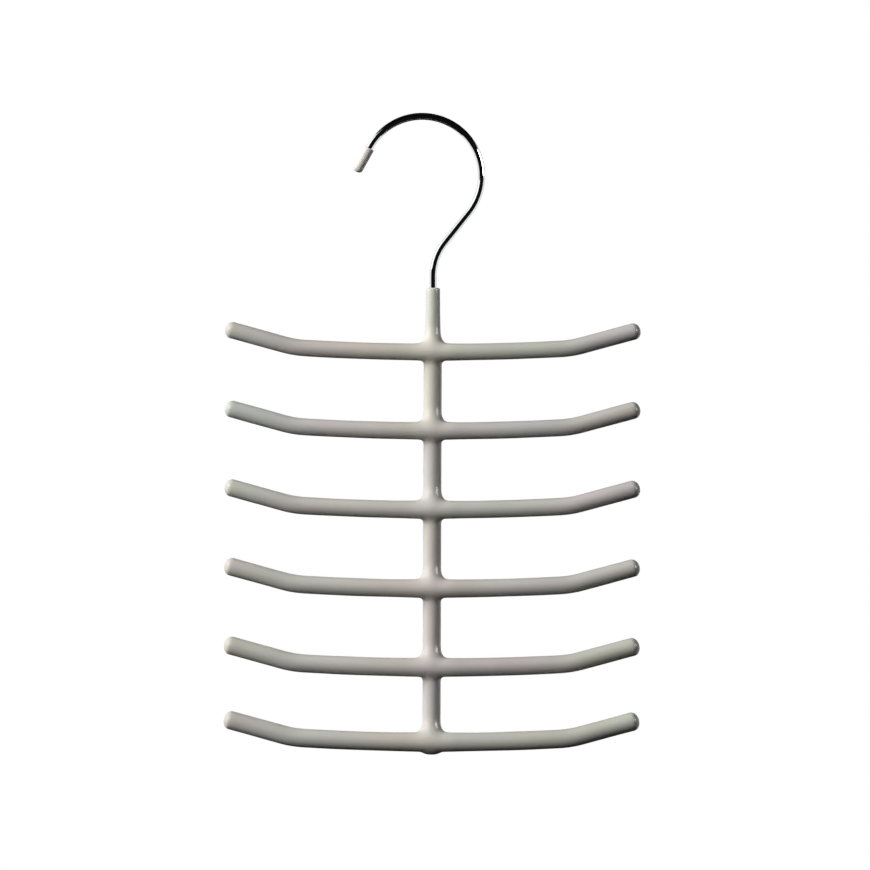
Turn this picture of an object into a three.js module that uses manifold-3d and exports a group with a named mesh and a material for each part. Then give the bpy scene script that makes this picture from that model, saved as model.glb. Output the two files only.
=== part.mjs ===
// A tie hanger: six bent cross bars welded to one upright tube, the whole frame dipped in vinyl,
// hung from a chromed wire hook that turns in the tube's neck.
// Millimetres. +Z is up, +X to the right and -Y towards someone who faces the hanger.
// The origin is the point that hangs on the rail, where the swivel axis meets the underside of the hook.
import * as THREE from "three";
import { mergeVertices } from "three/addons/utils/BufferGeometryUtils.js";
import Module from "manifold-3d";

const wasm = await Module();
wasm.setup();

// Hook
const WIRE_DIA = 3.4;
const BOW_RADIUS = 28.7; // to the wire's middle
const BOW_END = THREE.MathUtils.degToRad(151); // round the bow's centre, from +X
const SHANK_LEAN = THREE.MathUtils.degToRad(38.5); // from upright
const SHANK_LENGTH = 18.2;
const NECK_BEND_RADIUS = 26;
const STEM_SHOWN = 5.8; // straight stem between the vinyl and the first bend

// Tip cap
const CAP_WALL = 0.7;
const CAP_LENGTH = 13;
const CAP_END = 1.6; // vinyl beyond the wire's end
const CAP_LEAD = 0.8; // bare straight wire between the bow and the cap
const CAP_GAP = 0.1; // between the cap and the wire

// Spine tube, with a neck swaged down round the stem so that the stem's head can't pull out
const TUBE_WALL = 0.8;
const STEM_CLEAR = 0.1; // radial running clearance of the stem and its head
const HEAD_STEP = 0.4; // how far the head stands out round the wire
const HEAD_LENGTH = 3;
const HEAD_ROOM = 1.5; // free space between the head and the top bar
const SWAGE_TAPER = 3;
const NECK_LENGTH = 30.3; // from the tube's mouth down to the top bar's axis
const TUBE_TAIL = 0.85; // tube left under the lowest bar
const TUBE_OD = WIRE_DIA + 2 * (HEAD_STEP + STEM_CLEAR + TUBE_WALL); // its bore just passes the head

// Cross bars
const BAR_COUNT = 6;
const BAR_PITCH = 38;
const LAST_PITCH = 36; // the lowest bar sits a little closer to the one above it
const WIDTH = 200; // tip to tip over the vinyl
const ROD_DIA = 5.5;
const BEND_AT = 61.5; // along the bar from its middle to the start of the bend
const BEND_RADIUS = 50;
const SAG_RADIUS = 1100; // the long middle of each bar hangs in a very shallow arc
const TIP_ANGLE = THREE.MathUtils.degToRad(15.3); // slope of the raised tips
const SADDLE_DEPTH = 2.55; // how deep each bar lies in the front of the tube
const SEAT_GAP = 0.1; // between a bar and its saddle

// Weld beads in the corners above and below each bar, against the front of the tube
const WELD_LEG = 1.2;
const WELD_HALF_LENGTH = 2.2;
const WELD_GAP = 0.1; // between a bead and the steel it joins

// Vinyl coat, thicker towards the bottom, where the dip drains
const COAT_TOP_BAR = 1.25;
const COAT_LAST_BAR = 1.75;
const COAT_SPINE = 1.35;
const COAT_NECK = 0.75; // at the mouth
const COAT_RIM = 0.7; // over the tube's mouth
const COAT_TIP = 2; // beyond the end of each rod
const COAT_DRIP = 2.2; // under the tube's lower end
const COAT_GAP = 0.1; // between the vinyl and the steel
const MOUTH_CLEAR = 0.4; // between the wire and the vinyl at the mouth
const MOUTH_ROUND = 1; // rounding of the vinyl's upper edge
const DRIP_ROUND = 3; // height of the rounded lower end
const TIP_ROUND = 0.62; // length of a rounded vinyl tip as a share of its radius

// Facets
const WIRE_SIDES = 12;
const SPINE_SIDES = 16;
const WELD_SIDES = 10;
const ROUND_STEPS = 3;
const CHORD_ERROR = 0.12; // how far a facet may cut inside a bend's true curve

// Radii
const wireRadius = WIRE_DIA / 2;
const rodRadius = ROD_DIA / 2;
const tubeRadius = TUBE_OD / 2;
const boreRadius = tubeRadius - TUBE_WALL;
const neckBore = wireRadius + STEM_CLEAR;
const neckRadius = neckBore + TUBE_WALL;
const coatOnBar = (index) =>
  COAT_TOP_BAR + ((COAT_LAST_BAR - COAT_TOP_BAR) * index) / (BAR_COUNT - 1);

// Levels, worked down from the seat on the rail
const shankStartX = NECK_BEND_RADIUS * (1 - Math.cos(SHANK_LEAN));
const bowX = shankStartX + SHANK_LENGTH * Math.sin(SHANK_LEAN) - BOW_RADIUS * Math.cos(SHANK_LEAN);
const bowZ = -Math.sqrt((BOW_RADIUS - wireRadius) ** 2 - bowX ** 2);
const shankRise = SHANK_LENGTH * Math.cos(SHANK_LEAN);
const bendsRise = (NECK_BEND_RADIUS + BOW_RADIUS) * Math.sin(SHANK_LEAN);
const coatTopZ = bowZ - shankRise - bendsRise - STEM_SHOWN;
const mouthZ = coatTopZ - COAT_RIM;
const topBarZ = mouthZ - NECK_LENGTH;
const headBottomZ = topBarZ + rodRadius + HEAD_ROOM;
const shoulderBottomZ = headBottomZ + HEAD_LENGTH;
const shoulderTopZ = shoulderBottomZ + SWAGE_TAPER;
const barZ = (index) => {
  const closer = index === BAR_COUNT - 1 ? BAR_PITCH - LAST_PITCH : 0;
  return topBarZ - index * BAR_PITCH + closer;
};
const tubeEndZ = barZ(BAR_COUNT - 1) - rodRadius - TUBE_TAIL;

// Bars stand in front of the tube's axis, and each bead fills the corner where a bar's skin meets the tube's.
const barForward = tubeRadius + rodRadius - SADDLE_DEPTH;
const cornerBack = barForward - tubeRadius;
const cornerHeight = Math.sqrt(rodRadius ** 2 - cornerBack ** 2);

// Finishes
const CHROME = { color: 0xd8d8da, roughness: 0.08, metalness: 1 };
const STEEL = { color: 0x8c8f92, roughness: 0.45, metalness: 1 };
const WELD_STEEL = { color: 0x5d5a58, roughness: 0.6, metalness: 1 };
const VINYL = { color: 0xb4b3ab, roughness: 0.35, metalness: 0 };
const CAP_VINYL = { color: 0xdfe0d6, roughness: 0.4, metalness: 0 };

// A bent wire's middle line in the XZ plane, walked as straights and turns (a left turn is positive).
class WireRoute extends THREE.CurvePath {
  constructor(start, heading) {
    super();
    this.end = start.clone();
    this.heading = heading;
    this.walked = 0;
    this.stations = [0];
  }

  straight(length) {
    const step = new THREE.Vector2(Math.cos(this.heading), Math.sin(this.heading));
    const next = this.end.clone().addScaledVector(step, length);
    this.add(new THREE.LineCurve(this.end, next));
    return this.arrive(next, length, 1);
  }

  turn(angle, radius) {
    const centre = new THREE.Vector2(-Math.sin(this.heading), Math.cos(this.heading))
      .multiplyScalar(Math.sign(angle) * radius)
      .add(this.end);
    const from = Math.atan2(this.end.y - centre.y, this.end.x - centre.x);
    const arc = new THREE.EllipseCurve(centre.x, centre.y, radius, radius, from, from + angle, angle < 0);
    this.add(arc);
    this.heading += angle;
    const facet = Math.sqrt((8 * CHORD_ERROR) / radius);
    const halfSteps = Math.ceil(Math.abs(angle) / facet / 2);
    return this.arrive(arc.getPoint(1), Math.abs(angle) * radius, 2 * halfSteps);
  }

  arrive(point, length, steps) {
    for (let step = 1; step <= steps; step++) this.stations.push(this.walked + (length * step) / steps);
    this.end = point;
    this.walked += length;
    return this;
  }

  stationsBetween(from, to) {
    return this.stations.filter((distance) => distance > from && distance < to);
  }
}

// A shape turned about +Z from a profile of [radius, height] points.
function turned(profile) {
  const points = profile.map(([radius, height]) => new THREE.Vector2(radius, height));
  return new THREE.LatheGeometry(points, SPINE_SIDES).rotateX(Math.PI / 2);
}

// A round bar turned from a profile of [radius, distance walked] points and then laid along a route.
function bent(profile, route) {
  const points = profile.map(([radius, distance]) => new THREE.Vector2(radius, distance));
  const geometry = new THREE.LatheGeometry(points, WIRE_SIDES);
  const position = geometry.getAttribute("position");
  for (let i = 0; i < position.count; i++) {
    const along = THREE.MathUtils.clamp(position.getY(i) / route.walked, 0, 1);
    const point = route.getPoint(along);
    const tangent = route.getTangent(along);
    const across = position.getX(i);
    position.setXYZ(i, point.x - across * tangent.y, position.getZ(i), point.y + across * tangent.x);
  }
  return geometry;
}

// A quarter of an ellipse from a flat middle at the end to the side that is length before it.
function rounding(middleRadius, size, end, length) {
  return Array.from({ length: ROUND_STEPS + 1 }, (_, step) => {
    const angle = (step / ROUND_STEPS) * (Math.PI / 2);
    return [middleRadius + size * Math.sin(angle), end - length * (1 - Math.cos(angle))];
  });
}

// The profile of a plain round bar with flat ends, with a ring wherever its route bends.
function barProfile(route, radius, from, to) {
  const rings = [from, ...route.stationsBetween(from, to), to];
  return [[0, from], ...rings.map((distance) => [radius, distance]), [0, to]];
}

// The same over the whole route, with rounded ends.
function roundedBarProfile(route, radius) {
  const length = radius * TIP_ROUND;
  const rings = route.stationsBetween(length, route.walked - length);
  return [
    ...rounding(0, radius, 0, -length),
    ...rings.map((distance) => [radius, distance]),
    ...rounding(0, radius, route.walked, length).reverse(),
  ];
}

function solidOf(geometry) {
  const bare = geometry.clone();
  bare.deleteAttribute("normal");
  bare.deleteAttribute("uv");
  const merged = mergeVertices(bare, 1e-4);
  return new wasm.Manifold(
    new wasm.Mesh({
      numProp: 3,
      vertProperties: merged.getAttribute("position").array,
      triVerts: new Uint32Array(merged.index.array),
    }),
  );
}

function geometryOf(solid) {
  const mesh = solid.getMesh();
  return new THREE.BufferGeometry()
    .setAttribute("position", new THREE.BufferAttribute(mesh.vertProperties, 3))
    .setIndex(new THREE.BufferAttribute(mesh.triVerts, 1))
    .toNonIndexed();
}

function piece(name, geometry, finish) {
  geometry.computeVertexNormals();
  const mesh = new THREE.Mesh(geometry, new THREE.MeshStandardMaterial(finish));
  mesh.name = name;
  return mesh;
}

// A bar's line over its vinyl, with its lowest point at the origin: tip, bend, shallow middle, bend, tip.
function barRoute() {
  const sag = BEND_AT / SAG_RADIUS;
  const bendRun = BEND_RADIUS * (Math.sin(TIP_ANGLE) - Math.sin(sag));
  const bendRise = BEND_RADIUS * (Math.cos(sag) - Math.cos(TIP_ANGLE));
  const tipLength = (WIDTH / 2 - SAG_RADIUS * Math.sin(sag) - bendRun) / Math.cos(TIP_ANGLE);
  const tipRise = SAG_RADIUS * (1 - Math.cos(sag)) + bendRise + tipLength * Math.sin(TIP_ANGLE);
  return new WireRoute(new THREE.Vector2(-WIDTH / 2, tipRise), -TIP_ANGLE)
    .straight(tipLength)
    .turn(TIP_ANGLE - sag, BEND_RADIUS)
    .turn(2 * sag, SAG_RADIUS)
    .turn(TIP_ANGLE - sag, BEND_RADIUS)
    .straight(tipLength);
}

// The hook's line from the foot of its stem to the closed end of its cap.
function hookRoute() {
  return new WireRoute(new THREE.Vector2(0, headBottomZ), Math.PI / 2)
    .straight(coatTopZ + STEM_SHOWN - headBottomZ)
    .turn(-SHANK_LEAN, NECK_BEND_RADIUS)
    .straight(SHANK_LENGTH)
    .turn(SHANK_LEAN + BOW_END, BOW_RADIUS)
    .straight(CAP_LEAD + CAP_LENGTH);
}

// The wire with its upset head, whose cone runs parallel to the tube's shoulder.
function hookWire(route) {
  const headRadius = wireRadius + HEAD_STEP;
  const shaft = barProfile(route, wireRadius, HEAD_LENGTH + SWAGE_TAPER, route.walked - CAP_END);
  const head = [[0, 0], [headRadius, 0], [headRadius, HEAD_LENGTH]];
  return bent([...head, ...shaft.slice(1)], route);
}

function hookTipCap(route) {
  const mouth = route.walked - CAP_LENGTH;
  const floor = route.walked - CAP_END + CAP_GAP;
  const bore = wireRadius + CAP_GAP;
  const radius = bore + CAP_WALL;
  const rim = CAP_WALL / 2;
  const inside = [[0, floor], [bore, floor], [bore, mouth]];
  const outside = [[radius - rim, mouth], [radius, mouth + rim]];
  const end = rounding(0, radius, route.walked, radius * TIP_ROUND).reverse();
  return bent([...inside, ...outside, ...end], route);
}

// The tube's outside grown by a gap, from its lower end to its mouth.
function tubeOutside(gap) {
  return [
    [tubeRadius + gap, tubeEndZ - gap],
    [tubeRadius + gap, shoulderBottomZ],
    [neckRadius + gap, shoulderTopZ],
    [neckRadius + gap, mouthZ + gap],
  ];
}

function spineTube(barLine) {
  const inside = [
    [neckBore, mouthZ],
    [neckBore, shoulderTopZ],
    [boreRadius, shoulderBottomZ],
    [boreRadius, tubeEndZ],
  ];
  let tube = solidOf(turned([...inside, ...tubeOutside(0), inside[0]]));
  const saddle = bent(barProfile(barLine, rodRadius + SEAT_GAP, 0, barLine.walked), barLine);
  for (const index of bars) tube = tube.subtract(solidOf(placedOnBar(saddle, index)));
  return geometryOf(tube);
}

// The whole bead, of which only the part outside the bar and the tube shows.
function weldEllipsoid(side, gap) {
  const leg = WELD_LEG + gap;
  return new THREE.SphereGeometry(1, WELD_SIDES, WELD_SIDES / 2)
    .scale(WELD_HALF_LENGTH + gap, leg, leg)
    .translate(0, cornerBack, side * cornerHeight);
}

function weldBead(barLine, side, index) {
  const rod = bent(barProfile(barLine, rodRadius + WELD_GAP, 0, barLine.walked), barLine);
  const spindle = [[0, tubeEndZ - WELD_GAP], ...tubeOutside(WELD_GAP), [0, mouthZ + WELD_GAP]];
  const tube = turned(spindle).translate(0, barForward, -barZ(index));
  return geometryOf(solidOf(weldEllipsoid(side, 0)).subtract(solidOf(rod)).subtract(solidOf(tube)));
}

// The dipped skin: one shell over the bars and the tube, open only where the stem goes in.
function vinylCoat(barLine) {
  const spineRadius = tubeRadius + COAT_SPINE;
  const mouthRadius = neckRadius + COAT_NECK;
  const hole = wireRadius + MOUTH_CLEAR;
  const outside = [
    ...rounding(0, spineRadius, tubeEndZ - COAT_DRIP, -DRIP_ROUND),
    [spineRadius, topBarZ],
    [(spineRadius + mouthRadius) / 2, shoulderBottomZ],
    ...rounding(mouthRadius - MOUTH_ROUND, MOUTH_ROUND, coatTopZ, MOUTH_ROUND).reverse(),
    [0, coatTopZ],
  ];
  const above = coatTopZ + COAT_RIM;
  const throughMouth = [[hole, mouthZ + COAT_GAP], [hole, above], [0, above]];
  let skin = solidOf(turned(outside));
  let steelwork = solidOf(turned([[0, tubeEndZ - COAT_GAP], ...tubeOutside(COAT_GAP), ...throughMouth]));
  const rodEnd = COAT_TIP - COAT_GAP;
  const rod = bent(barProfile(barLine, rodRadius + COAT_GAP, rodEnd, barLine.walked - rodEnd), barLine);
  for (const index of bars) {
    const sleeve = bent(roundedBarProfile(barLine, rodRadius + coatOnBar(index)), barLine);
    skin = skin.add(solidOf(placedOnBar(sleeve, index)));
    steelwork = steelwork.add(solidOf(placedOnBar(rod, index)));
    for (const side of [1, -1]) {
      steelwork = steelwork.add(solidOf(placedOnBar(weldEllipsoid(side, COAT_GAP), index)));
    }
  }
  return geometryOf(skin.subtract(steelwork));
}

const bars = Array.from({ length: BAR_COUNT }, (_, index) => index);
const placedOnBar = (geometry, index) => geometry.clone().translate(0, -barForward, barZ(index));

const hookLine = hookRoute();
const hook = new THREE.Group();
hook.add(piece("hook_wire", hookWire(hookLine), CHROME));
hook.add(piece("hook_tip_cap", hookTipCap(hookLine), CAP_VINYL));

const barLine = barRoute();
const frame = new THREE.Group();
frame.add(piece("spine_tube", spineTube(barLine), STEEL));
for (const index of bars) {
  const crossing = new THREE.Group();
  crossing.position.set(0, -barForward, barZ(index));
  const rod = bent(barProfile(barLine, rodRadius, COAT_TIP, barLine.walked - COAT_TIP), barLine);
  crossing.add(piece(`cross_bar_${index + 1}`, rod, STEEL));
  crossing.add(piece(`upper_weld_${index + 1}`, weldBead(barLine, 1, index), WELD_STEEL));
  crossing.add(piece(`lower_weld_${index + 1}`, weldBead(barLine, -1, index), WELD_STEEL));
  frame.add(crossing);
}
frame.add(piece("vinyl_coat", vinylCoat(barLine), VINYL));

const hanger = new THREE.Group();
hanger.add(hook, frame);

export default hanger;
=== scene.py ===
"""Looks of a tie hanger: a chromed swivel hook, its tip cap and the dipped vinyl skin over a welded frame.

Metres. +Z is up, +X to the right and -Y towards someone who faces the hanger.
"""

import math
from dataclasses import dataclass
from typing import Callable

import bmesh
import bpy
import numpy as np
from bpy.props import FloatProperty, FloatVectorProperty, PointerProperty
from bpy.types import Operator, Panel, PropertyGroup
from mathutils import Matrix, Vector


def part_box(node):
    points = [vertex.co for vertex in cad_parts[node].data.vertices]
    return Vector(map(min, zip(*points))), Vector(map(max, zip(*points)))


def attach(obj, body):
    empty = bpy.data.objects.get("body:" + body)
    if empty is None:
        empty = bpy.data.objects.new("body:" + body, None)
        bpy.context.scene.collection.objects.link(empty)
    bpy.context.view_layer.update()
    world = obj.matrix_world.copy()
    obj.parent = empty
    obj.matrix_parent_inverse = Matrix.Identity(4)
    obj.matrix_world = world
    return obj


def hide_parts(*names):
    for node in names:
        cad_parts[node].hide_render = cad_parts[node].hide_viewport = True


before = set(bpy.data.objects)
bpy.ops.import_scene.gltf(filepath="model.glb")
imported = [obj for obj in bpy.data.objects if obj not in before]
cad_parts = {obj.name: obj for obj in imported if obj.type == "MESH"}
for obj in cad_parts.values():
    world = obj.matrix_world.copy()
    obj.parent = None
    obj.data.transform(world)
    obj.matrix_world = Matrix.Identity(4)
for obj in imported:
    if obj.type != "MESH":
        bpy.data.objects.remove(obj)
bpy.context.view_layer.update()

bl_info = {
    "name": "Tie hanger",
    "version": (1, 0, 0),
    "blender": (4, 5, 0),
    "location": "3D View > Sidebar > Tie hanger",
    "description": "Builds the hook, tip cap, vinyl skin and finishes of a tie hanger round its steel frame",
    "category": "Object",
}

MM = 0.001
DEPTH = np.array([0.0, 1.0, 0.0])

# Places and radii read from the steel frame
BAR_NODES = sorted(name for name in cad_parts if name.startswith("cross_bar"))
BAR_LOW, BAR_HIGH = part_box(BAR_NODES[0])
ROD_RADIUS = (BAR_HIGH.y - BAR_LOW.y) / 2
BAR_Y = (BAR_HIGH.y + BAR_LOW.y) / 2
BAR_HEIGHTS = [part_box(name)[0].z + ROD_RADIUS for name in BAR_NODES]
TUBE_LOW, TUBE_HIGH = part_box("spine_tube")
COAT_LOW, COAT_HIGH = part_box("vinyl_coat")
WIRE_LOW, WIRE_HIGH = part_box("hook_wire")
CAP_LOW, CAP_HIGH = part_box("hook_tip_cap")
LAST = len(BAR_HEIGHTS) - 1

# Fineness of the surfaces
SIDES = 40
JUNCTION_RINGS = 18
DOME_RINGS = 8
DRIP_RINGS = 12
LIP_RINGS = 5
HALVINGS = 36
MERGE = 0.001 * MM
SHARP = math.radians(40)
ANGLES = np.arange(SIDES) * (2 * math.pi / SIDES)

# How far from a crossing's middle the bar and the spine still shape each other
JUNCTION = 14 * MM
FILLET_CHANGE = 2 * MM
POOL_WIDTH = 5 * MM

# Where a noise texture's values lie, and how many layers of finer noise a texture has
NOISE_LOW = 0.3
NOISE_MIDDLE = 0.5
NOISE_HIGH = 0.7
SOFT_DETAIL = 1.0
FINE_DETAIL = 2.0
PATCHY_DETAIL = 3.0

# Patches of hue to a metre, as a share of the patches of lightness
HUE_PATCHES = 0.35

# Scales that draw a pattern out into streaks along one axis
STREAKS_ALONG_X = (0.02, 1.0, 1.0)
STREAKS_ALONG_Z = (1.0, 1.0, 0.02)

# How much paler the vinyl is on the spine, and from where to where along a bar that fades
PALER = 1.13
PALER_WITHIN = 5 * MM
PALER_UNTIL = 14 * MM

# How many times the camera's own distance the lens still sees
LENS_REACH = 10


@dataclass
class Lamp:
    """Where a lamp stands, seen from the middle of the picture: degrees to the right of the front and up.

    A lamp that isn't mirrored only lights, and one that is only mirrored shows on glossy surfaces alone.
    """

    turn: float
    rise: float
    distance: float
    width: float
    height: float
    is_mirrored: bool = True
    only_mirrored: bool = False


# The sheen stands just before the key lamp and is what mirrors see of it
LAMPS = {
    "key": Lamp(turn=-60, rise=27, distance=1.8, width=1.6, height=1.1, is_mirrored=False),
    "sheen": Lamp(turn=-60, rise=27, distance=1.7, width=1.5, height=1.0, only_mirrored=True),
    "glint": Lamp(turn=66, rise=18.5, distance=1.5, width=0.7, height=0.55, only_mirrored=True),
    "back": Lamp(turn=159, rise=14, distance=1.6, width=1.0, height=1.0, is_mirrored=False),
}

# Sides of the rounds of dark cards that are walled, counted from the front to the right
FRONT_WALLS = range(-8, 8)
BACK_WALLS = range(17, 23)
FLAG_WALLS = range(-5, -3)


def length(name, description, millimetres):
    """A size in millimetres as a property in metres."""
    return FloatProperty(name=name, description=description, default=millimetres * MM, unit="LENGTH")


def angle(name, description, degrees):
    """An angle in degrees as a property in radians."""
    return FloatProperty(name=name, description=description, default=math.radians(degrees), subtype="ANGLE")


def share(name, description, default):
    """A plain number as a property."""
    return FloatProperty(name=name, description=description, default=default, min=0.0)


def colour(name, description, *linear):
    """A linear red, green and blue as a colour property."""
    return FloatVectorProperty(
        name=name,
        description=description,
        default=linear,
        subtype="COLOR",
        min=0.0,
        max=1.0,
    )


class HookSizes(PropertyGroup):
    """The hook's wire and its bends"""

    wire: length("Wire", "Thickness of the hook's wire", 3.4)
    bow: length("Bow radius", "From the bow's centre to the middle of the wire", 28.7)
    bow_end: angle("Bow end", "Where the bow ends, round its centre from the right", 151)
    lean: angle("Shank lean", "Slope of the straight shank from upright", 38.5)
    shank: length("Shank", "Straight wire between the two bends", 18.2)
    neck_bend: length("Neck bend", "Radius of the bend over the stem", 26)
    stem_shown: length("Stem shown", "Straight stem between the vinyl and the first bend", 5.8)
    head: length("Head", "Length of the stem's wide foot", 3)
    head_taper: length("Head taper", "Length of the cone above the foot", 3)
    chamfer: length("Chamfer", "Broken edge at the wire's two ends", 0.25)
    step: length("Ring step", "Distance between two rings of the surface", 0.8)


class CapSizes(PropertyGroup):
    """The cap on the hook's free end"""

    length: length("Length", "Length of the cap along the wire", 13)
    end: length("End", "Vinyl beyond the wire's end", 1.6)
    lead: length("Lead", "Bare straight wire between the bow and the cap", 0.8)
    gap: length("Gap", "Between the cap's bore and the wire", 0.1)
    rim: length("Rim", "Rounding of the open rim", 0.32)
    dome: length("Dome", "Length of the rounded closed end", 1.9)
    step: length("Ring step", "Distance between two rings of the surface", 0.7)


class BarSizes(PropertyGroup):
    """The line that every cross bar follows"""

    width: length("Width", "From tip to tip over the vinyl", 200)
    bend_at: length("Bend at", "Along the bar from its middle to the start of the bend", 61.5)
    bend: length("Bend radius", "Radius of the bend before each tip", 50)
    sag: length("Sag radius", "Radius of the very shallow arc between the bends", 1100)
    tip_angle: angle("Tip angle", "Slope of the raised tips", 15.3)


class CoatSizes(PropertyGroup):
    """The outside of the dipped vinyl"""

    top_bar: length("On the top bar", "Vinyl on the top bar", 1.25)
    last_bar: length("On the last bar", "Vinyl on the lowest bar", 1.75)
    spine: length("On the spine", "Vinyl on the tube", 1.35)
    neck: length("Neck radius", "Outside radius that the neck narrows to", 3.3)
    neck_taper: length("Neck taper", "Height over which most of the neck's narrowing happens", 11)
    swell: length("Swelling", "Extra radius of a bar where it meets the spine", 0.25)
    swell_reach: length("Swelling reach", "How far along a bar the swelling fades", 12)
    wave: length("Waves", "Height of the slow waves that the dip leaves along a bar", 0.04)
    wave_length: length("Wave length", "Distance between two waves divided by a full turn", 4.7)
    pool: length("Pool", "Reach of the fillet up the front of the spine, where the dip pools over a bar", 9)
    fillet_above: length("Fillet above", "Reach of the fillets above a bar at the spine's sides", 5)
    fillet_below: length("Fillet below", "Reach of the fillets below a bar", 3.2)
    tip_dome: length("Tip dome", "Length of the rounded tips", 3.4)
    drip_edge: length("Drip edge", "Rounding of the spine's lower end", 2.6)
    lip: length("Lip", "Rounding of the mouth's outer edge", 0.95)
    lip_inside: length("Lip inside", "Rounding of the mouth's inner edge", 0.22)
    mouth_clear: length("Mouth clearance", "Between the wire and the vinyl at the mouth", 0.4)
    step: length("Ring step", "Distance between two rings outside", 2)


class CoreSizes(PropertyGroup):
    """The inside of the dipped vinyl, round the steel"""

    gap: length("Gap", "Between the steel and the inside of the vinyl", 0.25)
    rim_gap: length("Rim gap", "Between the tube's mouth and the vinyl over it", 0.1)
    tip_inset: length("Tip inset", "From a bar's vinyl tip back to the end of its hollow", 1.7)
    swage_start: length("Swage start", "From the top bar up to where the tube narrows", 7.25)
    swage: length("Swage", "Height over which the tube narrows", 3)
    neck_tube: length("Neck tube", "Outside radius of the tube's narrow neck", 2.6)
    fillet: length("Fillet", "Reach of the hollow's fillets, which clear the weld beads", 4.5)
    edge: length("Edge", "Rounding of the hollow's ends", 0.3)
    step: length("Ring step", "Distance between two rings inside", 5)


class Finishes(PropertyGroup):
    """The colours of vinyl and metal"""

    vinyl: colour("Vinyl", "Dipped skin", 0.6, 0.575, 0.53)
    cap: colour("Cap", "Tip cap", 0.76, 0.75, 0.66)
    chrome: colour("Chrome", "Plated hook", 0.78, 0.79, 0.81)
    steel: colour("Steel", "Drawn rods and tube", 0.33, 0.33, 0.34)
    weld: colour("Weld", "Scaled weld beads", 0.12, 0.11, 0.1)


class StageSettings(PropertyGroup):
    """The camera, the floor, the dark cards and the light"""

    view_width: length("View width", "Width of the picture at the bars", 419.3)
    view_x: length("View across", "Middle of the picture, from the swivel axis to the right", 1.2)
    view_z: length("View height", "Middle of the picture, from the rail seat upwards", -151.5)
    view_lean: angle("View lean", "How far the picture leans to the right", 0.2)
    distance: length("Camera distance", "From the camera to the bars", 2400)
    floor_drop: length("Floor drop", "From the hanger's lowest point down to the floor", 300)
    floor: length("Floor radius", "From under the hanger to the floor's edge", 2600)
    floor_shade: length("Shaded floor", "Radius within which the floor keeps the whole shadow", 500)
    floor_white: length("White floor", "Radius beyond which the floor is as white as what is round it", 1300)
    floor_tone: share("Floor tone", "How much of the light on it the floor sends back", 0.5)
    floor_glow: share("Floor glow", "What the floor shows beside the light that falls on it", 0.75)
    card_above: length("Card above", "Radius of the dark card overhead that the metal mirrors", 2730)
    card_aside: length("Card aside", "From the swivel axis to the right, to the middle of that card", 730)
    card_below: length("Card below", "Radius of the dark card far below that the metal mirrors", 2380)
    card_rise: length("Card rise", "From the middle of the picture up or down to these two cards", 2000)
    card_tone: share("Card tone", "How much of the light on them the dark cards send back", 0.02)
    flag: length("Flag", "From under the hanger to the dark card before the large lamp's inner edge", 1400)
    flag_rise: length("Flag rise", "From the middle of the picture up to that card's upper edge", 1500)
    key: share("Key level", "Light from the large lamp at the upper left", 1.3)
    sheen: share("Sheen level", "Light of the large lamp as mirrors see it", 0.15)
    glint: share("Glint level", "Light from the low lamp at the right, which only mirrors see", 0.52)
    back: share("Back level", "Light from the lamp behind", 0.5)
    sky_above: share("Sky above", "Level of the dim light from straight above", 0.09)
    sky_below: share("Sky below", "Level of the dim light from straight below", 0.02)


class TieHanger(PropertyGroup):
    """All the sizes and finishes of the hanger and its stage"""

    hook: PointerProperty(type=HookSizes)
    cap: PointerProperty(type=CapSizes)
    bars: PointerProperty(type=BarSizes)
    coat: PointerProperty(type=CoatSizes)
    core: PointerProperty(type=CoreSizes)
    finishes: PointerProperty(type=Finishes)
    stage: PointerProperty(type=StageSettings)


def rings_between(start, end, step):
    """Evenly spaced places after start up to end, about a step apart."""
    count = max(1, round((end - start) / step))
    return np.linspace(start, end, count + 1)[1:]


def rounding(middle, size, start, end, count):
    """Points on an ellipse's arc: middle + size * (cos, sin) of angles from start to end, in degrees."""
    swept = np.radians(np.linspace(start, end, count + 1))
    return np.stack([middle[0] + size[0] * np.cos(swept), middle[1] + size[1] * np.sin(swept)], axis=-1)


def bent_line(run, heading, stretches):
    """Places and headings along a line of straights and arcs in the XZ plane, from how far each is walked.

    A stretch is its length and the angle that it turns. Part of an arc adds its chord, which is the length
    walked times sin(half its turn) / (half its turn), in the direction of its mean heading.
    """
    across = np.zeros_like(run)
    up = np.zeros_like(run)
    for stretch, turn in stretches:
        walked = np.clip(run, 0, stretch)
        turned = turn * walked / stretch
        chord = walked * np.sinc(turned / (2 * math.pi))
        across = across + chord * np.cos(heading + turned / 2)
        up = up + chord * np.sin(heading + turned / 2)
        heading = heading + turned
        run = run - stretch
    return across, up, heading


def rays(along, lean=0.0, spread=1.0):
    """Directions from a line to its rings: lean * along + spread * (cos a * across + sin a * depth).

    Across is square to the line's direction and to the depth, so rings at rising distance face outwards.
    """
    across = np.cross(along, DEPTH)
    around = np.cos(ANGLES)[:, None] * across[:, None, :] + np.sin(ANGLES)[:, None] * DEPTH
    leaning = np.broadcast_to(lean, around.shape[:2])[..., None] * along[:, None, :]
    return leaning + np.reshape(spread, (-1, 1, 1)) * around


def grid_quads(rings, first):
    """Quads between neighbouring rings of a grid, from index first on, with each ring closed on itself."""
    ring, side = np.meshgrid(np.arange(rings - 1), np.arange(SIDES), indexing="ij")
    near = first + ring * SIDES
    far = near + SIDES
    beside = (side + 1) % SIDES
    return np.stack([near + side, far + side, far + beside, near + beside], axis=-1).reshape(-1, 4)


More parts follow.
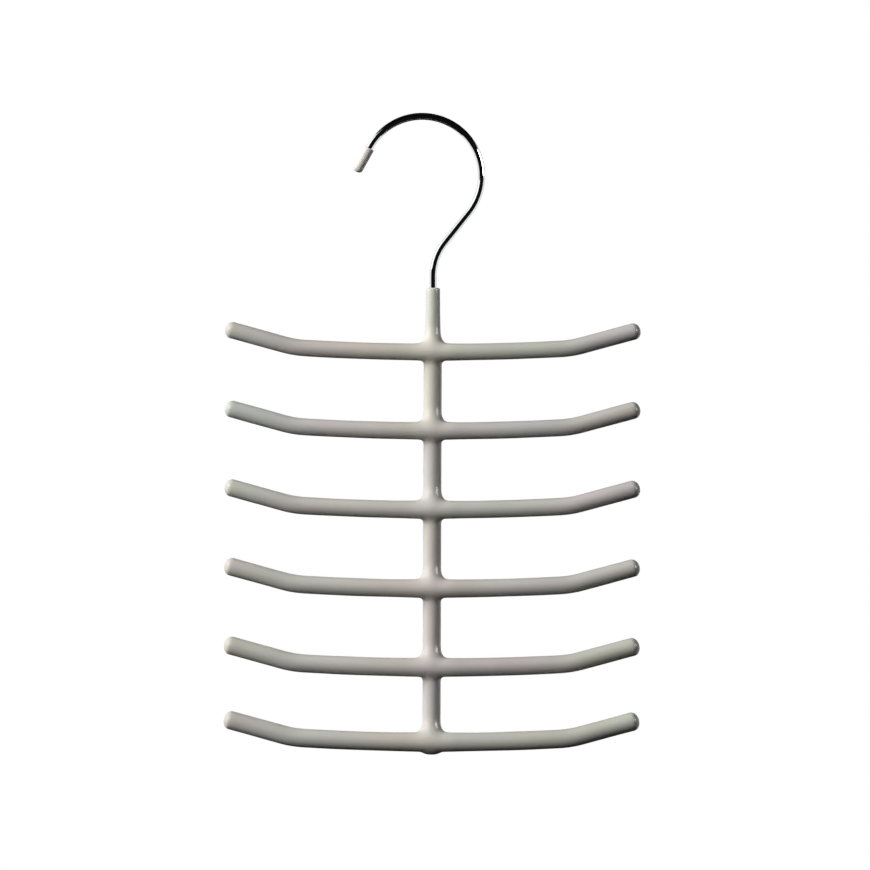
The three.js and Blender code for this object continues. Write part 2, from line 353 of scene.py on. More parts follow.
def make_piece(name, grids, material, unbent=None):
    """One closed mesh from grids of ring points, joined at their poles and where their edge rings meet.

    Unbent gives each point's place on the piece before it was bent, for patterns that follow its length.
    """
    starts = np.cumsum([0] + [grid.shape[0] * SIDES for grid in grids])
    points = np.concatenate([grid.reshape(-1, 3) for grid in grids])
    quads = np.concatenate([grid_quads(len(grid), first) for grid, first in zip(grids, starts)])
    mesh = bpy.data.meshes.new(name)
    mesh.from_pydata(points, [], quads)
    if unbent is not None:
        places = mesh.attributes.new("unbent", "FLOAT_VECTOR", "POINT")
        places.data.foreach_set("vector", unbent.astype(np.float32).ravel())
    shell = bmesh.new()
    shell.from_mesh(mesh)
    bmesh.ops.remove_doubles(shell, verts=shell.verts, dist=MERGE)
    is_closed = all(edge.is_manifold for edge in shell.edges)
    shell.to_mesh(mesh)
    shell.free()
    if not is_closed:
        raise RuntimeError(f"the surface of {name} isn't closed")
    mesh.shade_smooth()
    mesh.set_sharp_from_angle(angle=SHARP)
    mesh.materials.append(material)
    piece = bpy.data.objects.new(name, mesh)
    bpy.context.scene.collection.objects.link(piece)
    return piece


def hook_stretches(hook, cap):
    """The hook's line from its stem's foot to the closed end of its cap: stem, bend, shank, bow, tip."""
    stem = COAT_HIGH.z + hook.stem_shown - WIRE_LOW.z
    bow_turn = hook.lean + hook.bow_end
    return [
        (stem, 0.0),
        (hook.neck_bend * hook.lean, -hook.lean),
        (hook.shank, 0.0),
        (hook.bow * bow_turn, bow_turn),
        (cap.lead + cap.length, 0.0),
    ]


def on_hook(profile, stretches):
    """A profile of (radius, distance walked) turned about the hook's line, and about a straight line."""
    radius, run = profile.T
    across, up, heading = bent_line(run, math.pi / 2, stretches)
    centres = np.stack([across, np.zeros_like(run), WIRE_LOW.z + up], axis=-1)
    along = np.stack([np.cos(heading), np.zeros_like(run), np.sin(heading)], axis=-1)
    grid = centres[:, None] + radius[:, None, None] * rays(along)
    straight = np.empty_like(grid)
    straight[..., 0] = radius[:, None] * np.cos(ANGLES)
    straight[..., 1] = radius[:, None] * np.sin(ANGLES)
    straight[..., 2] = run[:, None]
    return grid, straight.reshape(-1, 3)


def wire_profile(hook, end):
    """The wire: a wide foot, a cone up to the wire's own radius, and the plain wire to its broken end."""
    foot = (WIRE_HIGH.y - WIRE_LOW.y) / 2
    wire = hook.wire / 2
    cone_top = hook.head + hook.head_taper
    head = [(0, 0), (foot - hook.chamfer, 0), (foot, hook.chamfer), (foot, hook.head), (wire, cone_top)]
    plain = rings_between(cone_top, end - hook.chamfer, hook.step)
    tail = [(wire - hook.chamfer, end), (0, end)]
    return np.concatenate([head, np.stack([np.full_like(plain, wire), plain], axis=-1), tail])


def cap_profile(cap, wire, end):
    """The cap: its bore from the blind end to the mouth, a rolled rim, the outside and a rounded end."""
    bore = wire + cap.gap
    outside = (CAP_HIGH.y - CAP_LOW.y) / 2
    blind = end - cap.end + cap.gap
    mouth = end - cap.length
    inside = rings_between(blind, mouth + cap.rim, -cap.step)
    rim_middle = ((bore + outside) / 2, mouth + cap.rim)
    rim = rounding(rim_middle, ((outside - bore) / 2, cap.rim), -180, -360, LIP_RINGS * 2)
    rim[:, 1] = 2 * rim_middle[1] - rim[:, 1]
    side = rings_between(mouth + cap.rim, end - cap.dome, cap.step)
    dome = rounding((0, end - cap.dome), (outside, cap.dome), 0, 90, DOME_RINGS)
    return np.concatenate([
        [(0, blind), (bore, blind)],
        np.stack([np.full_like(inside, bore), inside], axis=-1)[:-1],
        rim,
        np.stack([np.full_like(side, outside), side], axis=-1)[:-1],
        dome,
    ])


@dataclass
class Skin:
    """One face of the vinyl, outside or inside, as distances from the bars' and the spine's lines."""

    bars: BarSizes
    bar_radius: Callable  # of a bar's index and the place along it, from its middle to the right
    spine_radius: Callable  # of a height
    pool: float
    fillet_above: float
    fillet_below: float
    top: float
    bottom: float
    bottom_edge: float
    tip_inset: float
    tip_dome: float
    step: float

    def distance(self, index, points):
        """Signed distance to the skin about one crossing, from the spine's distance and the bar's.

        The lesser of the two counts. Where they are nearly equal it sinks, as a square towards the end of
        the fillet's reach, so the corner between bar and spine fills with a fillet. It sinks most where the
        two are equal, by the product of the reaches on spine and bar over twice their sum, which leaves no
        crease. The reach on the spine is longest above the bar at the front, and changes smoothly to its
        other values.
        """
        x, y, z = np.moveaxis(points, -1, 0)
        height = z - BAR_HEIGHTS[index]
        to_bar = np.hypot(height - x**2 / (2 * self.bars.sag), y - BAR_Y) - self.bar_radius(index, x)
        beside = np.hypot(x, y) - self.spine_radius(z) + self.bottom_edge
        below = self.bottom + self.bottom_edge - z
        rounded = np.hypot(np.maximum(beside, 0), np.maximum(below, 0))
        to_spine = rounded + np.minimum(np.maximum(beside, below), 0) - self.bottom_edge
        above = (1 + np.tanh(height / FILLET_CHANGE)) / 2
        in_front = np.exp(-((x / POOL_WIDTH) ** 2)) * (1 - np.tanh(y / FILLET_CHANGE)) / 2
        on_bar = self.fillet_below + (self.fillet_above - self.fillet_below) * above
        on_spine = on_bar + (self.pool - self.fillet_above) * in_front * above
        deepest = on_spine * on_bar / (2 * (on_spine + on_bar))
        reach = np.where(to_spine < to_bar, on_spine, on_bar)
        nearness = np.maximum(0, 1 - np.abs(to_spine - to_bar) / reach)
        return np.minimum(to_spine, to_bar) - deepest * nearness**2

    def meet(self, index, centres, directions):
        """Where rays from inside the skin pass through it, by halving the stretch that holds the place."""
        starts = centres[:, None, :]
        inside = np.zeros(directions.shape[:2])
        outside = np.full_like(inside, JUNCTION)
        for _ in range(HALVINGS):
            middle = (inside + outside) / 2
            is_in = self.distance(index, starts + middle[..., None] * directions) < 0
            inside = np.where(is_in, middle, inside)
            outside = np.where(is_in, outside, middle)
        return starts + outside[..., None] * directions

    def arm(self, index, run, places, along, radius, axis_y):
        """Rings along one arm of a crossing. Far out they are plain circles about the arm's own line.

        Near the crossing each ray leans along the arm, from halfway to the next arm at the middle to square
        at the junction's end, and its start slides from the crossing's middle to the arm's line. So
        neighbouring arms share their first ring, on the diagonal between them.
        """
        nearness = np.maximum(0, 1 - run / JUNCTION)
        centres = places.copy()
        centres[:, 1] = axis_y + (BAR_Y / 2 - axis_y) * nearness
        directions = rays(along, lean=nearness[:, None] * np.abs(np.cos(ANGLES)))
        grid = centres[:, None] + radius[:, None, None] * directions
        is_near = nearness > 0
        grid[is_near] = self.meet(index, centres[is_near], directions[is_near])
        return grid

    def bar_arm(self, index, side):
        """Half a bar, to the right for side 1 and to the left for side -1, with a rounded tip."""
        stretches = bar_stretches(self.bars)
        tip = sum(stretch for stretch, _ in stretches) - self.tip_inset
        dome = np.linspace(0, math.pi / 2, DOME_RINGS + 1)[1:]
        run = np.concatenate([
            np.linspace(0, JUNCTION, JUNCTION_RINGS + 1),
            rings_between(JUNCTION, tip - self.tip_dome, self.step),
            tip - self.tip_dome * (1 - np.sin(dome)),
        ])
        across, up, heading = bent_line(run, 0.0, stretches)
        places = np.stack([side * across, np.zeros_like(run), BAR_HEIGHTS[index] + up], axis=-1)
        along = np.stack([side * np.cos(heading), np.zeros_like(run), np.sin(heading)], axis=-1)
        radius = self.bar_radius(index, side * run)
        radius[-DOME_RINGS:] *= np.cos(dome)
        return self.arm(index, run, places, along, radius, BAR_Y)

    def spine_arm(self, index, side, end):
        """The spine from a crossing up (side 1) or down (side -1) to the height where the arm ends."""
        far = abs(end - BAR_HEIGHTS[index])
        run = np.concatenate([
            np.linspace(0, JUNCTION, JUNCTION_RINGS + 1),
            rings_between(JUNCTION, far, self.step),
        ])
        places = np.zeros((len(run), 3))
        places[:, 2] = BAR_HEIGHTS[index] + side * run
        along = np.tile([0.0, 0.0, side], (len(run), 1))
        return self.arm(index, run, places, along, self.spine_radius(places[:, 2]), 0.0)

    def drip(self):
        """The closed lower end: rays from the last crossing swing from its diagonals to straight down."""
        swing = np.linspace(0, 1, DRIP_RINGS + 1)
        centres = np.tile([0.0, BAR_Y / 2, BAR_HEIGHTS[LAST]], (len(swing), 1))
        along = np.tile([0.0, 0.0, -1.0], (len(swing), 1))
        lean = (1 - swing)[:, None] * np.abs(np.cos(ANGLES)) + swing[:, None]
        return self.meet(LAST, centres, rays(along, lean=lean, spread=1 - swing))

    def grids(self):
        """The arms of all the crossings, which meet halfway between the bars, and the closed lower end."""
        made = [self.bar_arm(index, side) for index in range(LAST + 1) for side in (1, -1)]
        made.append(self.spine_arm(0, 1, self.top))
        for index in range(LAST):
            halfway = (BAR_HEIGHTS[index] + BAR_HEIGHTS[index + 1]) / 2
            made.append(self.spine_arm(index, -1, halfway))
            made.append(self.spine_arm(index + 1, 1, halfway))
        made.append(self.drip())
        return made


def bar_stretches(bars):
    """Half a bar's line from its middle: the shallow arc, the bend and the straight tip."""
    sag = bars.bend_at / bars.sag
    bend_run = bars.bend * (math.sin(bars.tip_angle) - math.sin(sag))
    tip = (bars.width / 2 - bars.sag * math.sin(sag) - bend_run) / math.cos(bars.tip_angle)
    bend = bars.tip_angle - sag
    return [(bars.bend_at, sag), (bars.bend * bend, bend), (tip, 0.0)]


def outer_skin(bars, coat):
    """The outside of the vinyl, thicker on the lower bars, where the dip drains."""

    def bar_radius(index, along):
        """Rod and vinyl, a swelling that fades as exp(-(distance / reach)^2), and two slow waves."""
        vinyl = coat.top_bar + (coat.last_bar - coat.top_bar) * index / LAST
        swelling = coat.swell * np.exp(-((along / coat.swell_reach) ** 2))
        waves = np.sin(along / coat.wave_length + index) + np.sin(along / (2 * coat.wave_length) - 2 * index)
        return ROD_RADIUS + vinyl + swelling + coat.wave * waves / 2

    def spine_radius(height):
        """Even along the bars, and narrowing above them as exp(-rise / taper)."""
        rise = np.maximum(height - BAR_HEIGHTS[0], 0)
        return coat.neck + (TUBE_HIGH.x + coat.spine - coat.neck) * np.exp(-rise / coat.neck_taper)

    return Skin(
        bars=bars,
        bar_radius=bar_radius,
        spine_radius=spine_radius,
        pool=coat.pool,
        fillet_above=coat.fillet_above,
        fillet_below=coat.fillet_below,
        top=COAT_HIGH.z - coat.lip,
        bottom=COAT_LOW.z,
        bottom_edge=coat.drip_edge,
        tip_inset=0.0,
        tip_dome=coat.tip_dome,
        step=coat.step,
    )


def inner_skin(bars, core):
    """The inside of the vinyl, a little clear of the rods, the tube and the weld beads."""

    def bar_radius(index, along):
        return np.full_like(along, ROD_RADIUS + core.gap)

    def spine_radius(height):
        swage = BAR_HEIGHTS[0] + core.swage_start
        return core.gap + np.interp(height, [swage, swage + core.swage], [TUBE_HIGH.x, core.neck_tube])

    return Skin(
        bars=bars,
        bar_radius=bar_radius,
        spine_radius=spine_radius,
        pool=core.fillet,
        fillet_above=core.fillet,
        fillet_below=core.fillet,
        top=TUBE_HIGH.z + core.rim_gap,
        bottom=TUBE_LOW.z - core.gap,
        bottom_edge=core.edge,
        tip_inset=core.tip_inset,
        tip_dome=core.edge,
        step=core.step,
    )


def mouth_grid(outer, inner, coat, wire):
    """The mouth's lip: over the outer edge, across to the hole, down it and out to the tube's hollow."""
    outside = outer.spine_radius(outer.top)
    hole = wire + coat.mouth_clear
    edge = rounding((outside - coat.lip, outer.top), (coat.lip, coat.lip), 0, 90, LIP_RINGS)
    inside_middle = (hole + coat.lip_inside, COAT_HIGH.z - coat.lip_inside)
    inside = rounding(inside_middle, (coat.lip_inside, coat.lip_inside), 90, 180, LIP_RINGS)
    seat = [(hole, inner.top), (inner.spine_radius(inner.top), inner.top)]
    radius, height = np.concatenate([edge, inside, seat]).T
    along = np.tile([0.0, 0.0, 1.0], (len(radius), 1))
    centres = height[:, None] * along
    return centres[:, None] + radius[:, None, None] * rays(along)


class NodeTree:
    """Adds nodes to a tree. An input given as a socket is linked, and any other is set as its value."""

    def __init__(self, tree):
        self.tree = tree
        tree.nodes.clear()

    def add(self, kind, inputs=None, **settings):
        """A new node of a kind, with inputs by name or number and settings by name."""
        node = self.tree.nodes.new(kind)
        for name, value in settings.items():
            setattr(node, name, value)
        for key, value in (inputs or {}).items():
            if isinstance(value, bpy.types.NodeSocket):
                self.tree.links.new(value, node.inputs[key])
            else:
                node.inputs[key].default_value = value
        return node

    def math(self, operation, *values):
        """A number worked out from numbers."""
        return self.add("ShaderNodeMath", dict(enumerate(values)), operation=operation).outputs[0]

    def vector(self, operation, *values):
        """A vector or a colour worked out from others."""
        return self.add("ShaderNodeVectorMath", dict(enumerate(values)), operation=operation).outputs[0]

    def noise(self, place, scale, detail):
        """A noise texture's two outputs, Fac and Color, with about scale patches to a metre."""
        inputs = {"Vector": place, "Scale": scale, "Detail": detail}
        return self.add("ShaderNodeTexNoise", inputs).outputs

    def remap(self, value, start, end, low=0.0, high=1.0, kind="LINEAR"):
        """A value that runs from start to end brought to low to high, and held there beyond them."""
        limits = {"Value": value, "From Min": start, "From Max": end, "To Min": low, "To Max": high}
        return self.add("ShaderNodeMapRange", limits, interpolation_type=kind).outputs["Result"]

    def spread(self, value, low, high):
        """A noise value, which stays near a half, spread over low to high."""
        return self.remap(value, NOISE_LOW, NOISE_HIGH, low, high)

    def group(self, tree, inputs):
        """The outputs of a node group that is placed with these inputs."""
        return self.add("ShaderNodeGroup", inputs, node_tree=tree).outputs

    def bump(self, height, strength, distance):
        """Normals tilted by a height of 0 to 1, where 1 stands for the distance."""
        inputs = {"Height": height, "Strength": strength, "Distance": distance}
        return self.add("ShaderNodeBump", inputs).outputs["Normal"]

    def mix(self, factor, first, second):
        """The first shader where the factor is 0, and the second where it is 1."""
        return self.add("ShaderNodeMixShader", {0: factor, 1: first, 2: second}).outputs[0]


def grey(level):
    """A grey as a colour socket takes it."""
    return (level, level, level, 1.0)


def shared_group(name, inputs, outputs, fill):
    """A shader node group with named sockets, built by fill the first time that it is asked for."""
    group = bpy.data.node_groups.get(name)
    if group is None:
        group = bpy.data.node_groups.new(name, "ShaderNodeTree")
        for socket, kind in inputs.items():
            group.interface.new_socket(socket, in_out="INPUT", socket_type=kind)
        for socket, kind in outputs.items():
            group.interface.new_socket(socket, in_out="OUTPUT", socket_type=kind)
        nodes = NodeTree(group)
        nodes.add("NodeGroupOutput", fill(nodes, nodes.add("NodeGroupInput").outputs))
    return group


def colour_drift():
    """A node group: a colour that drifts lighter and darker in soft patches, and in hue in wider ones."""

    def fill(nodes, given):
        patches = nodes.noise(given["Place"], given["Patches"], PATCHY_DETAIL)["Fac"]
        lighter = nodes.math("SUBTRACT", patches, NOISE_MIDDLE)
        gain = nodes.math("MULTIPLY_ADD", lighter, given["Drift"], 1.0)
        wide = nodes.math("MULTIPLY", given["Patches"], HUE_PATCHES)
        hues = nodes.noise(given["Place"], wide, SOFT_DETAIL)["Color"]
        least = nodes.math("MULTIPLY_ADD", given["Tinge"], -NOISE_MIDDLE, 1.0)
        tinge = nodes.vector("MULTIPLY_ADD", hues, given["Tinge"], least)
        tinged = nodes.vector("MULTIPLY", given["Colour"], tinge)
        return {"Colour": nodes.vector("MULTIPLY", tinged, gain)}

    inputs = {
        "Place": "NodeSocketVector",
        "Colour": "NodeSocketColor",
        "Patches": "NodeSocketFloat",
        "Drift": "NodeSocketFloat",
        "Tinge": "NodeSocketFloat",
    }
    return shared_group("Colour drift", inputs, {"Colour": "NodeSocketColor"}, fill)


def surface_relief():
    """A node group: the height of slow waves with a fine grain on them, and the waves alone as a mask."""

    def fill(nodes, given):
        waves = nodes.noise(given["Place"], given["Waves"], SOFT_DETAIL)["Fac"]
        grain = nodes.noise(given["Place"], given["Grain"], FINE_DETAIL)["Fac"]
        height = nodes.math("MULTIPLY_ADD", grain, given["Grain share"], waves)
        return {"Height": height, "Waves": nodes.spread(waves, low=0.0, high=1.0)}

    inputs = {
        "Place": "NodeSocketVector",
        "Waves": "NodeSocketFloat",
        "Grain": "NodeSocketFloat",
        "Grain share": "NodeSocketFloat",
    }
    outputs = {"Height": "NodeSocketFloat", "Waves": "NodeSocketFloat"}
    return shared_group("Surface relief", inputs, outputs, fill)


def drawn_streaks():
    """A node group: fine streaks left by a drawing die, from places stretched along the metal's length."""

    def fill(nodes, given):
        stretched = nodes.vector("MULTIPLY", given["Place"], given["Stretch"])
        streaks = nodes.noise(stretched, given["Streaks"], FINE_DETAIL)["Fac"]
        return {"Streaks": nodes.spread(streaks, low=0.0, high=1.0)}

    inputs = {"Place": "NodeSocketVector", "Stretch": "NodeSocketVector", "Streaks": "NodeSocketFloat"}
    return shared_group("Drawn streaks", inputs, {"Streaks": "NodeSocketFloat"}, fill)


def new_material(name):
    """A material's empty node tree and the coordinates of the piece that wears it."""
    material = bpy.data.materials.new(name)
    material.use_nodes = True
    nodes = NodeTree(material.node_tree)
    return material, nodes, nodes.add("ShaderNodeTexCoord").outputs["Object"]


def finish_material(nodes, inputs):
    """Gives a material's tree its Principled shader with these inputs."""
    shader = nodes.add("ShaderNodeBsdfPrincipled", inputs)
    nodes.add("ShaderNodeOutputMaterial", {"Surface": shader.outputs[0]})


def vinyl_material(name, tint, smoothest, roughest, patches, relief_share):
    """Soft vinyl: colour in faint patches, an uneven sheen, and the slow waves and fine pores of the dip.

    It is a little paler near the swivel axis, over the spine and where the bars cross it.
    """
    material, nodes, place = new_material(name)
    drift = {"Place": place, "Colour": (*tint, 1.0), "Patches": patches, "Drift": 0.22, "Tinge": 0.25}
    tinted = nodes.group(colour_drift(), drift)["Colour"]
    across = nodes.add("ShaderNodeSeparateXYZ", {"Vector": place}).outputs["X"]
    aside = nodes.math("ABSOLUTE", across)
    paler = nodes.remap(aside, PALER_WITHIN, PALER_UNTIL, low=PALER, high=1.0, kind="SMOOTHSTEP")
    relief = {"Place": place, "Waves": 260.0, "Grain": 2600.0, "Grain share": 0.06}
    skin = nodes.group(surface_relief(), relief)
    finish_material(nodes, {
        "Base Color": nodes.vector("MULTIPLY", tinted, paler),
        "Roughness": nodes.spread(skin["Waves"], smoothest, roughest),
        "Normal": nodes.bump(skin["Height"], strength=relief_share, distance=0.08 * MM),
        "Specular IOR Level": 0.35,
        "Coat Weight": 0.45,
        "Coat Roughness": 0.12,
    })
    return material


def chrome_material(tint):
    """Chrome plate on drawn wire, with faint lengthwise streaks under the polish."""
    material, nodes, _ = new_material("chrome plate")
    place = nodes.add("ShaderNodeAttribute", attribute_name="unbent").outputs["Vector"]
    drawn = {"Place": place, "Stretch": STREAKS_ALONG_Z, "Streaks": 3000.0}
    streaks = nodes.group(drawn_streaks(), drawn)["Streaks"]
    drift = {"Place": place, "Colour": (*tint, 1.0), "Patches": 120.0, "Drift": 0.1, "Tinge": 0.02}
    finish_material(nodes, {
        "Base Color": nodes.group(colour_drift(), drift)["Colour"],
        "Metallic": 1.0,
        "Roughness": nodes.spread(streaks, low=0.05, high=0.09),
        "Normal": nodes.bump(streaks, strength=0.02, distance=0.02 * MM),
    })
    return material


def steel_material(name, tint, stretch):
    """Bare drawn steel, streaked along its length and dull in patches."""
    material, nodes, place = new_material(name)
    drawn = {"Place": place, "Stretch": stretch, "Streaks": 1800.0}
    streaks = nodes.group(drawn_streaks(), drawn)["Streaks"]
    drift = {"Place": place, "Colour": (*tint, 1.0), "Patches": 90.0, "Drift": 0.5, "Tinge": 0.1}
    finish_material(nodes, {
        "Base Color": nodes.group(colour_drift(), drift)["Colour"],
        "Metallic": 1.0,
        "Roughness": nodes.spread(streaks, low=0.34, high=0.5),
        "Normal": nodes.bump(streaks, strength=0.2, distance=0.03 * MM),
    })
    return material


def weld_material(tint):
    """Weld metal under a dark scale, lumpy and uneven."""
    material, nodes, place = new_material("weld scale")
    drift = {"Place": place, "Colour": (*tint, 1.0), "Patches": 700.0, "Drift": 1.2, "Tinge": 0.6}
    relief = {"Place": place, "Waves": 1100.0, "Grain": 5000.0, "Grain share": 0.4}
    scale = nodes.group(surface_relief(), relief)
    finish_material(nodes, {
        "Base Color": nodes.group(colour_drift(), drift)["Colour"],
        "Metallic": 1.0,
        "Roughness": nodes.spread(scale["Waves"], low=0.5, high=0.72),
        "Normal": nodes.bump(scale["Height"], strength=0.6, distance=0.2 * MM),
    })
    return material


def seen_directly(nodes):
    """1 for rays from the camera, mirrors and glass, and 0 for those that only carry light."""
    path = nodes.add("ShaderNodeLightPath").outputs
    mirrored = nodes.math("MAXIMUM", path["Is Glossy Ray"], path["Is Transmission Ray"])
    return nodes.math("MAXIMUM", path["Is Camera Ray"], mirrored)


def light_world(stage):
    """White to look at, and a dim grey sky as light, darker from below."""
    world = bpy.data.worlds.new("studio")
    world.use_nodes = True
    nodes = NodeTree(world.node_tree)
    direction = nodes.add("ShaderNodeTexCoord").outputs["Generated"]
    height = nodes.add("ShaderNodeSeparateXYZ", {"Vector": direction}).outputs["Z"]
    level = nodes.remap(height, -1.0, 1.0, low=stage.sky_below, high=stage.sky_above)
    sky = nodes.add("ShaderNodeBackground", {"Strength": level}).outputs[0]
    white = nodes.add("ShaderNodeBackground", {"Color": grey(1.0), "Strength": 1.0}).outputs[0]
    nodes.add("ShaderNodeOutputWorld", {"Surface": nodes.mix(seen_directly(nodes), sky, white)})
    bpy.context.scene.world = world


def floor_material(stage):
    """A pale floor that keeps the hanger's shadow, fades into the white round it and is clear from below."""
    material, nodes, place = new_material("pale floor")
    flat = nodes.vector("MULTIPLY", place, (1.0, 1.0, 0.0))
    away = nodes.add("ShaderNodeVectorMath", {0: flat}, operation="LENGTH").outputs["Value"]
    fade = nodes.remap(away, stage.floor_shade, stage.floor_white, kind="SMOOTHSTEP")
    seen = seen_directly(nodes)
    glow = nodes.math("MULTIPLY", seen, stage.floor_glow)
    lit = nodes.add("ShaderNodeBsdfDiffuse", {"Color": grey(stage.floor_tone)}).outputs[0]
    glowing = nodes.add("ShaderNodeEmission", {"Strength": glow}).outputs[0]
    near = nodes.add("ShaderNodeAddShader", {0: lit, 1: glowing}).outputs[0]
    white = nodes.add("ShaderNodeEmission", {"Strength": seen}).outputs[0]
    clear = nodes.add("ShaderNodeBsdfTransparent").outputs[0]
    is_below = nodes.add("ShaderNodeNewGeometry").outputs["Backfacing"]
    surface = nodes.mix(is_below, nodes.mix(fade, near, white), clear)
    nodes.add("ShaderNodeOutputMaterial", {"Surface": surface})
    return material


def card_material(stage):
    """Black card."""
    material, nodes, _ = new_material("black card")
    card = nodes.add("ShaderNodeBsdfDiffuse", {"Color": grey(stage.card_tone)}).outputs[0]
    nodes.add("ShaderNodeOutputMaterial", {"Surface": card})
    return material


def level_ring(radius, height, aside=0.0):
    """A level circle of points, (aside, 0) + radius * (sin a, -cos a), from the front to the right."""
    across = aside + radius * np.sin(ANGLES)
    return np.stack([across, -radius * np.cos(ANGLES), np.full(SIDES, height)], axis=-1)


def stage_piece(name, points, faces, material):
    """A mesh that belongs to the stage and not to the hanger."""
    mesh = bpy.data.meshes.new(name)
    mesh.from_pydata(points, [], faces)
    mesh.materials.append(material)
    piece = bpy.data.objects.new(name, mesh)
    bpy.context.scene.collection.objects.link(piece)
    return piece


def add_floor(stage):
    """A round floor under the hanger."""
    rim = level_ring(stage.floor, COAT_LOW.z - stage.floor_drop)
    floor = stage_piece("floor", rim, [range(SIDES)], floor_material(stage))
    floor.visible_diffuse = False
    floor.visible_glossy = False


def wall_faces(sides, first):
    """Faces at the walled sides between two level rings, the first of which starts at index first."""
    faces = []
    for side in sides:
        near = first + side % SIDES
        far = first + (side + 1) % SIDES
        faces.append((near, far, SIDES + far, SIDES + near))
    return faces


def add_cards(stage):
    """Dark cards that only mirrors see: overhead, below, before, behind, and a flag at the key lamp."""
    rims = [
        level_ring(stage.card_below, stage.view_z - stage.card_rise),
        level_ring(stage.card_above, stage.view_z + stage.card_rise, stage.card_aside),
        level_ring(stage.flag, stage.view_z),
        level_ring(stage.flag, stage.view_z + stage.flag_rise),
    ]
    faces = [range(SIDES), range(SIDES, 2 * SIDES)]
    faces += wall_faces([*FRONT_WALLS, *BACK_WALLS], 0)
    faces += wall_faces(FLAG_WALLS, 2 * SIDES)
    cards = stage_piece("dark_cards", np.concatenate(rims), faces, card_material(stage))
    cards.visible_camera = False
    cards.visible_diffuse = False
    cards.visible_transmission = False
    cards.visible_shadow = False


def add_lamp(name, lamp, level, stage):
    """A soft lamp aimed at the hanger. At level 1 a white card that faces it shows as white.

    For that its power is about pi^2 * (distance^2 + area / pi), with the area that of the lamp itself.
    """
    rise = math.radians(lamp.rise)
    turn = math.radians(lamp.turn)
    level_part = math.cos(rise)
    towards = Vector((level_part * math.sin(turn), -level_part * math.cos(turn), math.sin(rise)))
    light = bpy.data.lights.new(name, "AREA")
    light.shape = "RECTANGLE"
    light.size = lamp.width
    light.size_y = lamp.height
    light.energy = level * math.pi**2 * (lamp.distance**2 + lamp.width * lamp.height / math.pi)
    made = bpy.data.objects.new(name, light)
    made.location = Vector((0.0, 0.0, stage.view_z)) + lamp.distance * towards
    made.rotation_euler = towards.to_track_quat("Z", "Y").to_euler()
    made.visible_diffuse = not lamp.only_mirrored
    made.visible_glossy = lamp.is_mirrored
    bpy.context.scene.collection.objects.link(made)


def add_camera(stage):
    """A long lens straight in front of the hanger, as wide at the bars as the picture is."""
    lens = bpy.data.cameras.new("camera")
    lens.lens = lens.sensor_width * stage.distance / stage.view_width
    lens.clip_end = LENS_REACH * stage.distance
    camera = bpy.data.objects.new("camera", lens)
    camera.location = (stage.view_x, BAR_Y - stage.distance, stage.view_z)
    camera.rotation_euler = (math.radians(90), -stage.view_lean, 0.0)
    bpy.context.scene.collection.objects.link(camera)
    bpy.context.scene.camera = camera


class TIEHANGER_OT_hook(Operator):
    """Sweep the chromed wire along the hook's bends"""

    bl_idname = "tie_hanger.hook"
    bl_label = "Hook"

    def execute(self, context):
        hanger = context.scene.tie_hanger
        stretches = hook_stretches(hanger.hook, hanger.cap)
        end = sum(stretch for stretch, _ in stretches) - hanger.cap.end
        grid, straight = on_hook(wire_profile(hanger.hook, end), stretches)
        hook = make_piece("chromed_hook", [grid], chrome_material(hanger.finishes.chrome), straight)
        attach(hook, "hook")
        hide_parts("hook_wire")
        return {"FINISHED"}


class TIEHANGER_OT_tip_cap(Operator):
    """Turn the vinyl cap on the hook's free end"""

    bl_idname = "tie_hanger.tip_cap"
    bl_label = "Tip cap"

    def execute(self, context):
        hanger = context.scene.tie_hanger
        stretches = hook_stretches(hanger.hook, hanger.cap)
        end = sum(stretch for stretch, _ in stretches)
        grid, _ = on_hook(cap_profile(hanger.cap, hanger.hook.wire / 2, end), stretches)
        material = vinyl_material(
            "cap vinyl",
            hanger.finishes.cap,
            smoothest=0.36,
            roughest=0.46,
            patches=180.0,
            relief_share=0.1,
        )
        cap = make_piece("tip_cap", [grid], material)
        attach(cap, "hook")
        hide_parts("hook_tip_cap")
        return {"FINISHED"}


class TIEHANGER_OT_coat(Operator):
    """Lay the dipped vinyl over the bars and the spine as one hollow skin"""

    bl_idname = "tie_hanger.coat"
    bl_label = "Vinyl coat"

    def execute(self, context):
        hanger = context.scene.tie_hanger
        outer = outer_skin(hanger.bars, hanger.coat)
        inner = inner_skin(hanger.bars, hanger.core)
        hollow = [grid[::-1] for grid in inner.grids()]
        mouth = mouth_grid(outer, inner, hanger.coat, hanger.hook.wire / 2)
        material = vinyl_material(
            "dipped vinyl",
            hanger.finishes.vinyl,
            smoothest=0.34,
            roughest=0.42,
            patches=40.0,
            relief_share=0.3,
        )
        coat = make_piece("dipped_coat", [*outer.grids(), mouth, *hollow], material)
        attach(coat, "frame")
        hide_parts("vinyl_coat")
        return {"FINISHED"}


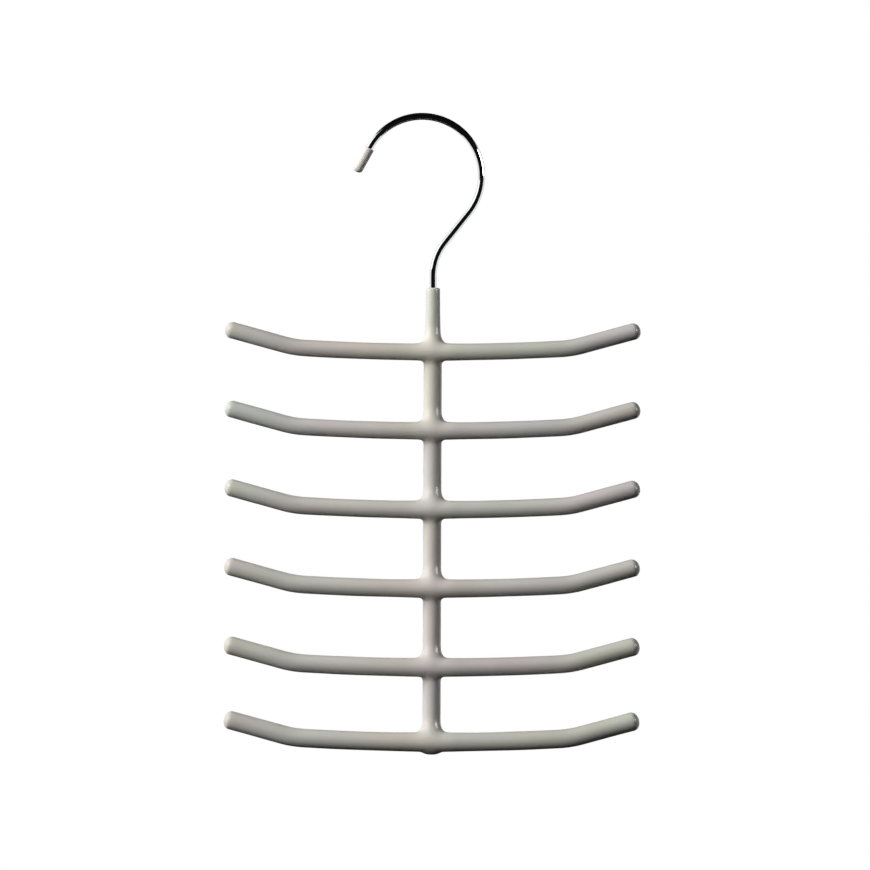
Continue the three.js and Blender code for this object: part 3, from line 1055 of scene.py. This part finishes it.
class TIEHANGER_OT_steelwork(Operator):
    """Give the rods, the tube and the weld beads their finishes"""

    bl_idname = "tie_hanger.steelwork"
    bl_label = "Steelwork"

    def execute(self, context):
        finishes = context.scene.tie_hanger.finishes
        rod = steel_material("drawn rod", finishes.steel, STREAKS_ALONG_X)
        tube = steel_material("drawn tube", finishes.steel, STREAKS_ALONG_Z)
        weld = weld_material(finishes.weld)
        wears = {"spine_tube": tube}
        wears.update({name: rod for name in BAR_NODES})
        wears.update({name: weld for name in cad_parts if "_weld_" in name})
        for name, material in wears.items():
            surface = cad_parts[name].data
            surface.materials.clear()
            surface.materials.append(material)
        return {"FINISHED"}


class TIEHANGER_OT_stage(Operator):
    """Set up the floor, the lamps, the surroundings and the camera"""

    bl_idname = "tie_hanger.stage"
    bl_label = "Stage"

    def execute(self, context):
        stage = context.scene.tie_hanger.stage
        context.scene.view_settings.view_transform = "Standard"
        light_world(stage)
        add_floor(stage)
        add_cards(stage)
        for name, lamp in LAMPS.items():
            add_lamp(name, lamp, getattr(stage, name), stage)
        add_camera(stage)
        return {"FINISHED"}


class TIEHANGER_PT_sidebar(Panel):
    """Sizes, colours and build steps of the tie hanger"""

    bl_label = "Tie hanger"
    bl_space_type = "VIEW_3D"
    bl_region_type = "UI"
    bl_category = "Tie hanger"

    def draw(self, context):
        hanger = context.scene.tie_hanger
        for part in TieHanger.__annotations__:
            box = self.layout.box()
            box.label(text=part.capitalize())
            group = getattr(hanger, part)
            for name in group.__annotations__:
                box.prop(group, name)
        for operator in OPERATORS:
            self.layout.operator(operator.bl_idname)


GROUPS = (HookSizes, CapSizes, BarSizes, CoatSizes, CoreSizes, Finishes, StageSettings, TieHanger)
OPERATORS = (
    TIEHANGER_OT_hook,
    TIEHANGER_OT_tip_cap,
    TIEHANGER_OT_coat,
    TIEHANGER_OT_steelwork,
    TIEHANGER_OT_stage,
)
CLASSES = (*GROUPS, *OPERATORS, TIEHANGER_PT_sidebar)


def register():
    for kind in CLASSES:
        bpy.utils.register_class(kind)
    bpy.types.Scene.tie_hanger = PointerProperty(type=TieHanger)


def unregister():
    del bpy.types.Scene.tie_hanger
    for kind in reversed(CLASSES):
        bpy.utils.unregister_class(kind)


def main():
    register()
    bpy.ops.tie_hanger.hook()
    bpy.ops.tie_hanger.tip_cap()
    bpy.ops.tie_hanger.coat()
    bpy.ops.tie_hanger.steelwork()
    bpy.ops.tie_hanger.stage()


if __name__ == "__main__":
    main()
